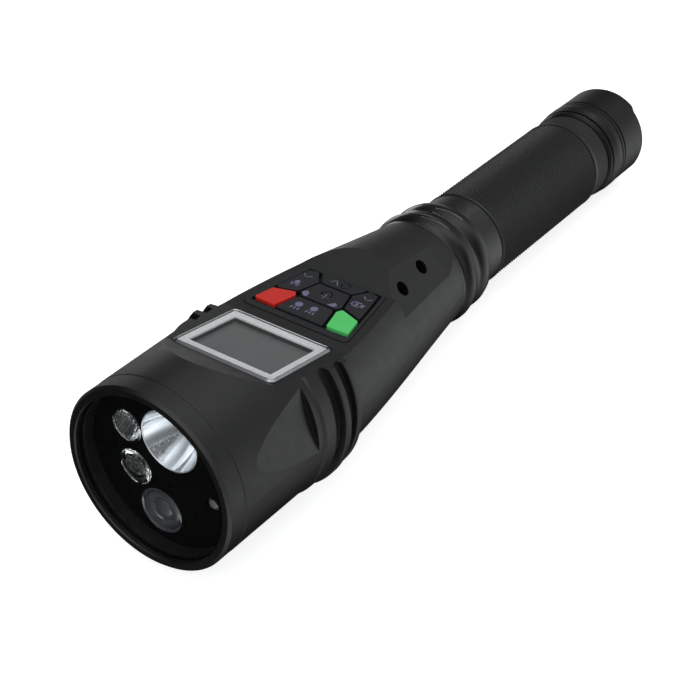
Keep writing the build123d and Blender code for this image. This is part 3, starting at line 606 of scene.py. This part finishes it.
# Half the width of a ridge's crest, and where the root ahead of it starts and ends.
THREAD_CREST = 0.15
THREAD_ROOT = (0.65, 0.85)
TAIL_NECK_R = 16.8
TAIL_NECK_END = 247.2
TAIL_NECK_CHAMFER = 0.2
GRIP_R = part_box("battery_tube")[1].z / MM
GRIP_START, GRIP_END = 167.4, 237.0
# Behind the grip the tube slopes down to the neck, with a short easier stretch at the foot.
GRIP_SLOPE_START, GRIP_SLOPE_END = 2.4, 3.0
GRIP_SLOPE_FOOT = 0.1
KNURL_AROUND = 76
KNURL_DEPTH = 0.42
KNURL_MARGIN = 0.6
KNURL_EDGE = 0.15
TUBE_CREASE = 12.0


def cut_knurl(tube, start, end):
    """Staggered rows of small pyramids between two stations. Returns the outermost rings."""
    pitch = 2 * math.pi * GRIP_R / KNURL_AROUND
    rows = 2 * round((end - start) / pitch)
    pace = (end - start) / rows
    valley = GRIP_R - KNURL_DEPTH
    rings = [tube.ring(valley, start + row * pace, 0.5 * (row % 2)) for row in range(rows + 1)]
    for row in range(1, rows):
        peaks = tube.ring(GRIP_R, start + row * pace, 0.5 + 0.5 * (row % 2))
        for step in range(KNURL_AROUND):
            beside = (step + 1) % KNURL_AROUND
            across = (step + row % 2) % KNURL_AROUND
            corners = (
                rings[row] + step,
                rings[row - 1] + across,
                rings[row] + beside,
                rings[row + 1] + across,
            )
            for first, second in zip(corners, corners[1:] + corners[:1]):
                tube.faces.append((first, second, peaks + step))
    for step in range(KNURL_AROUND):
        beside = (step + 1) % KNURL_AROUND
        tube.faces.append((rings[0] + step, rings[0] + beside, rings[1] + step))
        tube.faces.append((rings[-1] + step, rings[-1] + beside, rings[-2] + step))
    return rings[0], rings[-1]


def thread_places():
    """(radius, station) places of the tail thread's ridges, from the tube's end inwards."""
    root_r = THREAD_R - THREAD_DEPTH
    places = []
    for ridge in range(int((TUBE_END - TAIL_NECK_END - THREAD_RUN_OUT) / THREAD_PITCH)):
        crest = TUBE_END - THREAD_LEAD - ridge * THREAD_PITCH
        places += [(THREAD_R, crest + THREAD_CREST), (THREAD_R, crest - THREAD_CREST)]
        places += [(root_r, crest - foot) for foot in THREAD_ROOT]
    return places


def make_knurled_tube(material):
    """The battery tube, with a knurled grip and a threaded tail."""
    tube = Turning(KNURL_AROUND)
    start, end = GRIP_START + KNURL_MARGIN, GRIP_END - KNURL_MARGIN
    front_ring, rear_ring = cut_knurl(tube, start, end)
    last = tube.profile(
        [
            (GRIP_R, start - KNURL_EDGE),
            (GRIP_R, GRIP_START + TUBE_CHAMFER),
            (GRIP_R - TUBE_CHAMFER, GRIP_START),
            (THREAD_R, GRIP_START),
            (THREAD_R, TUBE_START + TUBE_CHAMFER),
            (THREAD_R - TUBE_CHAMFER, TUBE_START),
            (TUBE_BORE_R, TUBE_START),
            (TUBE_BORE_R, TUBE_END),
            (THREAD_R - THREAD_DEPTH, TUBE_END),
            *thread_places(),
            (THREAD_R - THREAD_DEPTH, TAIL_NECK_END),
            (TAIL_NECK_R - TAIL_NECK_CHAMFER, TAIL_NECK_END),
            (TAIL_NECK_R, TAIL_NECK_END - TAIL_NECK_CHAMFER),
            (TAIL_NECK_R, GRIP_END + GRIP_SLOPE_END),
            (TAIL_NECK_R + GRIP_SLOPE_FOOT, GRIP_END + GRIP_SLOPE_START),
            (GRIP_R, GRIP_END),
            (GRIP_R, end + KNURL_EDGE),
        ],
        front_ring,
    )
    tube.join(last, rear_ring)
    piece = mesh_object("knurled_tube", tube.points, tube.faces, material, TUBE_CREASE)
    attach(piece, "torch_body")
    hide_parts("battery_tube")


# ------------------------------------------------------------------ the two flood lenses
FLOOD_AROUND = 160
FLOOD_RINGS = 40
# The front is a station, and the band, the depth and the pocket lie that far behind it.
FLOOD_FRONT = 8.1
FLOOD_CHAMFER = 0.3
FLOOD_BAND = 1.4
FLOOD_DEPTH = 7.0
FLOOD_REAR_R = 2.7
FLOOD_POCKET_R = 1.7
FLOOD_POCKET = 4.6
BEAD_PITCH = 1.25
BEAD_HEIGHT = 0.5
BEAD_SPREAD = 0.58
BEAD_CREASE = 60.0
# The beads fade out over the last 1 / BEAD_FADE of the radius.
BEAD_FADE = 8.0
FACETS = 8
FACET_CREASE = 15.0
# Rise of the facets, in millimetres, by share of the way from the centre to the rim.
FACET_STEPS = (
    (0.0, -0.30),
    (0.22, -0.42),
    (0.34, 0.10),
    (0.52, -0.30),
    (0.68, 0.18),
    (0.84, -0.05),
    (1.0, 0.0),
)


def bead_height(x, z, radius):
    """Rise of a honeycomb of small domes, fading out at the rim."""
    row_pitch = BEAD_PITCH * math.sqrt(3) / 2
    row = round(z / row_pitch)
    nearest = BEAD_PITCH
    for near_row in (row - 1, row, row + 1):
        shift = 0.5 * BEAD_PITCH * (near_row % 2)
        column = round((x - shift) / BEAD_PITCH) * BEAD_PITCH + shift
        nearest = min(nearest, math.hypot(x - column, z - near_row * row_pitch))
    inside = min(1.0, BEAD_FADE * (1.0 - math.hypot(x, z) / radius))
    return inside * BEAD_HEIGHT * (1.0 - (nearest / (BEAD_SPREAD * BEAD_PITCH)) ** 2)


def facet_height(x, z, radius):
    """Rise of nested eight-sided steps, like a cut stone."""
    sector = 2 * math.pi / FACETS
    turn = (math.atan2(z, x) % sector) - sector / 2
    share = math.hypot(x, z) * math.cos(turn) / radius
    for (low, low_rise), (high, high_rise) in zip(FACET_STEPS, FACET_STEPS[1:]):
        if share <= high:
            return low_rise + (high_rise - low_rise) * (share - low) / (high - low)
    return 0.0


def make_flood_lens(node, height, material, crease):
    """A clear collecting cone with a shaped front and a lamp pocket behind."""
    radius, centre, _, _ = round_seat(node)
    lens = Turning(FLOOD_AROUND, centre)
    face_r = radius - FLOOD_CHAMFER
    rings = []
    for number in range(1, FLOOD_RINGS + 1):
        ring = lens.ring(face_r * number / FLOOD_RINGS, FLOOD_FRONT)
        if number < FLOOD_RINGS:
            for index in range(ring, ring + FLOOD_AROUND):
                x, y, z = lens.points[index]
                rise = height(x / MM - centre[0], z / MM - centre[1], face_r)
                lens.points[index] = (x, y - rise * MM, z)
        if rings:
            lens.join(rings[-1], ring)
        rings.append(ring)
    lens.cap(rings[0], FLOOD_FRONT - height(0.0, 0.0, face_r))
    last = lens.profile(
        [
            (radius, FLOOD_FRONT + FLOOD_CHAMFER),
            (radius, FLOOD_FRONT + FLOOD_BAND),
            (FLOOD_REAR_R, FLOOD_FRONT + FLOOD_DEPTH),
            (FLOOD_POCKET_R, FLOOD_FRONT + FLOOD_DEPTH),
            (FLOOD_POCKET_R, FLOOD_FRONT + FLOOD_POCKET),
        ],
        rings[-1],
    )
    lens.cap(last, FLOOD_FRONT + FLOOD_POCKET)
    piece = mesh_object(f"{node}_cut", lens.points, lens.faces, material, crease)
    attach(piece, "torch_body")
    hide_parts(node)
    piece.visible_shadow = False


# ------------------------------------------------------------------ the reflector's bright rim
RIM_AROUND = 128
RIM_WIDTH = 0.45
RIM_RISE = 0.4
RIM_CREASE = 50.0
# The rim's section, from its outer foot to its inner one: shares of its width and of its rise.
RIM_SECTION = ((0.0, 0.6), (0.3, 1.0), (0.7, 1.0), (1.0, 0.6), (1.0, 0.0))


def make_reflector_rim(material):
    """The rolled edge of the reflector, standing a little in front of the panel."""
    outer, centre, foot, _ = round_seat("main_reflector")
    rim = Turning(RIM_AROUND, centre)
    first = rim.ring(outer, foot)
    section = [(outer - inset * RIM_WIDTH, foot - rise * RIM_RISE) for inset, rise in RIM_SECTION]
    rim.join(rim.profile(section, first), first)
    piece = mesh_object("reflector_rim", rim.points, rim.faces, material, RIM_CREASE)
    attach(piece, "torch_body")


# ------------------------------------------------------------------ the camera's front lens
LENS_AROUND = 96
LENS_CREASE = 28.0
LENS_INNER_R = 3.2
LENS_DOME_TOP = 0.1
LENS_DOME_DEPTH = 0.7
LENS_DOME_RINGS = 8
# The groove round the dome, by distance from the centre and depth, and then the dish and the
# raised rim round it, by inset from the lens's edge and depth.
LENS_GROOVE = ((LENS_INNER_R + 0.25, 1.1), (LENS_INNER_R + 0.5, 0.75))
LENS_DISH = ((3.0, 0.5), (2.0, 0.6), (1.2, 0.95), (0.9, 1.3))
LENS_RIM = ((0.7, 0.4), (0.3, 0.1), (0.0, 0.3))


def make_camera_lens(material):
    """A small domed lens inside a larger one, with a raised rim."""
    radius, centre, front, back = round_seat("camera_front_lens")
    lens = Turning(LENS_AROUND, centre)
    dome = []
    for number in range(1, LENS_DOME_RINGS + 1):
        share = number / LENS_DOME_RINGS
        depth = LENS_DOME_TOP + LENS_DOME_DEPTH * share**2
        dome.append((LENS_INNER_R * share, front + depth))
    groove = [(reach, front + depth) for reach, depth in LENS_GROOVE]
    outside = [(radius - inset, front + depth) for inset, depth in LENS_DISH + LENS_RIM]
    first = lens.ring(*dome[0])
    lens.cap(first, front + LENS_DOME_TOP)
    last = lens.profile([*dome[1:], *groove, *outside, (radius, back)], first)
    lens.cap(last, back)
    piece = mesh_object("camera_lens_stack", lens.points, lens.faces, material, LENS_CREASE)
    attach(piece, "torch_body")
    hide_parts("camera_front_lens")


# ------------------------------------------------------------------ the display's cover
DISPLAY_MID = 48.4
DISPLAY_MID_Z = 20.0
DISPLAY_SLOPE = 0.155
DISPLAY_TILT = math.atan(DISPLAY_SLOPE)
COVER_SIDES = [corner.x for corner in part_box("display_lens")]
COVER_WIDTH = (COVER_SIDES[1] - COVER_SIDES[0]) / MM
COVER_LENGTH = 30.4
COVER_CORNER_R = 2.3
COVER_LEAST_R = 0.5
COVER_CORNER_STEPS = 8
COVER_BEVEL = 0.8
COVER_EDGE = 0.05
COVER_TOP = 0.6
COVER_BOTTOM = -0.66
COVER_GAP = 0.01
PANE_CHAMFER = 0.1


def on_display(x, along, height):
    """A place over the tilted display, from millimetres across, along and above its middle."""
    level, drop = math.cos(DISPLAY_TILT), math.sin(DISPLAY_TILT)
    y = station(DISPLAY_MID) + (along * level + height * drop) * MM
    z = (DISPLAY_MID_Z - along * drop + height * level) * MM
    return (x * MM, y, z)


def cover_outline(inset, height):
    """The cover's rounded rectangle, drawn in by the inset, at a height."""
    radius = max(COVER_LEAST_R, COVER_CORNER_R - inset)
    outline = []
    for quarter in range(4):
        middle = math.radians(45 + 90 * quarter)
        across = math.copysign(COVER_WIDTH / 2 - inset - radius, math.cos(middle))
        along = math.copysign(COVER_LENGTH / 2 - inset - radius, math.sin(middle))
        for step in range(COVER_CORNER_STEPS + 1):
            turn = math.radians(90 * (quarter + step / COVER_CORNER_STEPS))
            x, y = across + radius * math.cos(turn), along + radius * math.sin(turn)
            outline.append(on_display(x, y, height))
    return outline


def make_cover_piece(name, rings, hollow, material):
    """A frame, or a plate if it isn't hollow, through outlines of (inset, height)."""
    points, faces = [], []
    for inset, height in rings:
        points += cover_outline(inset, height)
    count = len(points) // len(rings)
    for level in range(len(rings) if hollow else len(rings) - 1):
        first, second = level * count, (level + 1) % len(rings) * count
        for corner in range(count):
            after = (corner + 1) % count
            faces.append((first + corner, first + after, second + after, second + corner))
    if not hollow:
        faces.append(tuple(range(count)))
        faces.append(tuple(range(len(points) - count, len(points))))
    piece = mesh_object(name, points, faces, material)
    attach(piece, "torch_body")
    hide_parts("display_lens")
    return piece


def make_display_cover(edge_material, pane_material):
    """A mirrored bevel round a clear pane."""
    inner = COVER_BEVEL
    bevel = [(0.0, COVER_BOTTOM), (0.0, COVER_EDGE), (inner, COVER_TOP), (inner, COVER_BOTTOM)]
    make_cover_piece("cover_bevel", bevel, True, edge_material)
    inner += COVER_GAP
    pane = [
        (inner, COVER_BOTTOM),
        (inner, COVER_TOP - PANE_CHAMFER),
        (inner + PANE_CHAMFER, COVER_TOP),
    ]
    make_cover_piece("cover_pane", pane, False, pane_material).visible_shadow = False


# ------------------------------------------------------------------ marks printed on the keys
# A mark's places are millimetres across, towards the camera's side, and stations.
MARK_RISE = 0.04
MARK_LINE = 0.42
BOLD_LINE = 0.5
SPOT_SIDES = 20
ARC_STEPS = 24
LAMP_R = 1.3
RAY_SPREAD = 1.15
RAY_START, RAY_END = 1.9, 2.8


def spot(x, distance, radius):
    """A flat round spot, as one outline."""
    turns = [2 * math.pi * side / SPOT_SIDES for side in range(SPOT_SIDES)]
    places = [(x + radius * math.cos(turn), distance + radius * math.sin(turn)) for turn in turns]
    return [places]


def line(places, width=MARK_LINE):
    """A line of that width through the places, one outline to each stretch."""
    outlines = []
    for start, end in zip(places, places[1:]):
        along = Vector((end[0] - start[0], end[1] - start[1])).normalized() * (width / 2)
        side = Vector((-along.y, along.x))
        a, b = Vector(start) - along, Vector(end) + along
        outlines.append([tuple(a + side), tuple(b + side), tuple(b - side), tuple(a - side)])
    return outlines


def arc(x, distance, radius, start, end):
    """A thin arc, with angles from the camera's side round towards the tail."""
    degrees = [start + (end - start) * step / ARC_STEPS for step in range(ARC_STEPS + 1)]
    turns = [math.radians(degree) for degree in degrees]
    places = [(x + radius * math.cos(turn), distance + radius * math.sin(turn)) for turn in turns]
    return line(places)


def lamp_sign(x, distance):
    """A round lamp with three short rays ahead of it."""
    rays = []
    for side in (-RAY_SPREAD, 0.0, RAY_SPREAD):
        foot = (x + side, distance - RAY_START)
        tip = (x + RAY_SPREAD * side, distance - RAY_END)
        rays += line([foot, tip], BOLD_LINE)
    return spot(x, distance, LAMP_R) + rays


def light_sign():
    """A round light on a bar, over two dashes."""
    lamp = spot(-11.9, 86.6, 0.9) + line([(-13.3, 85.4), (-10.5, 85.4)], BOLD_LINE)
    left_dash = line([(-13.0, 84.5), (-12.6, 84.5)], BOLD_LINE)
    right_dash = line([(-11.1, 84.5), (-10.7, 84.5)], BOLD_LINE)
    return lamp + left_dash + right_dash


def camera_sign():
    """A box with a lens in it and a short stroke beside it."""
    left, right, front, rear = 9.0, 12.2, 85.7, 87.9
    box = [(left, front), (right, front), (right, rear), (left, rear), (left, front)]
    stroke = line([(12.9, 86.2), (12.9, 87.4)], 0.6)
    return line(box, BOLD_LINE) + spot(10.6, 86.8, 0.55) + stroke


def make_marks(name, key, outlines, material):
    """Thin flat marks on top of a key, which ride with it."""
    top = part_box(key)[1].z
    points, faces = [], []
    for outline in outlines:
        first, count = len(points), len(outline)
        for z in (top - MARK_RISE * MM, top + MARK_RISE * MM):
            points += [(x * MM, station(distance), z) for x, distance in outline]
        second = first + count
        faces.append(tuple(range(first, second)))
        faces.append(tuple(range(second, second + count)))
        for corner in range(count):
            after = (corner + 1) % count
            faces.append((first + corner, first + after, second + after, second + corner))
    piece = mesh_object(name, points, faces, material)
    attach(piece, key)


def make_key_marks():
    """Plain generic signs: two lamps, power, a ring beside a tick, arrows, a light, a camera."""
    violet = mark_print("mark_violet", (0.19, 0.19, 0.30))
    grey = mark_print("mark_grey", (0.165, 0.168, 0.182))
    lamps = lamp_sign(-3.7, 76.3) + lamp_sign(1.7, 76.8)
    power = arc(0.0, 85.9, 1.8, -50, 230) + line([(0.0, 83.6), (0.0, 85.8)])
    corners = [
        [(-7.2, 82.7), (-5.9, 81.3), (-4.6, 81.3), (-4.9, 83.4), (-6.3, 84.2)],
        [(3.2, 81.3), (5.6, 81.3), (6.3, 82.4), (5.0, 83.6)],
    ]
    tick = arc(1.9, 93.3, 1.5, 0, 360) + line([(-0.6, 92.2), (-2.2, 94.6), (-3.4, 93.0)])
    left_arrow = line([(-10.0, 91.6), (-11.6, 90.4), (-13.0, 91.9)])
    right_arrow = line([(13.0, 91.6), (11.6, 90.4), (10.0, 91.9)])
    make_marks("lamp_marks", "lamp_key", lamps, violet)
    make_marks("power_mark", "power_key", power, grey)
    make_marks("power_corner_marks", "power_key", corners, violet)
    make_marks("tick_mark", "ok_key", tick, grey)
    make_marks("left_arrow_mark", "left_key", left_arrow, grey)
    make_marks("light_mark", "left_key", light_sign(), violet)
    make_marks("right_arrow_mark", "right_key", right_arrow, grey)
    make_marks("camera_mark", "right_key", camera_sign(), violet)


def let_light_through():
    """The window and the sensor's dome cast no shadow on what lies behind them."""
    for clear in ("front_window", "light_sensor_lens"):
        NODES[clear].visible_shadow = False


finishes = finish_cad_nodes()
make_camera()
make_world()
make_softboxes()
make_floor()
make_knurled_tube(black_knurl())
make_flood_lens("upper_flood_lens", bead_height, finishes["clear_lens"], BEAD_CREASE)
make_flood_lens("lower_flood_lens", facet_height, finishes["clear_lens"], FACET_CREASE)
make_reflector_rim(finishes["reflector_mirror"])
make_camera_lens(finishes["camera_glass"])
make_display_cover(finishes["cover_edge"], finishes["clear_lens"])
make_key_marks()
let_light_through()
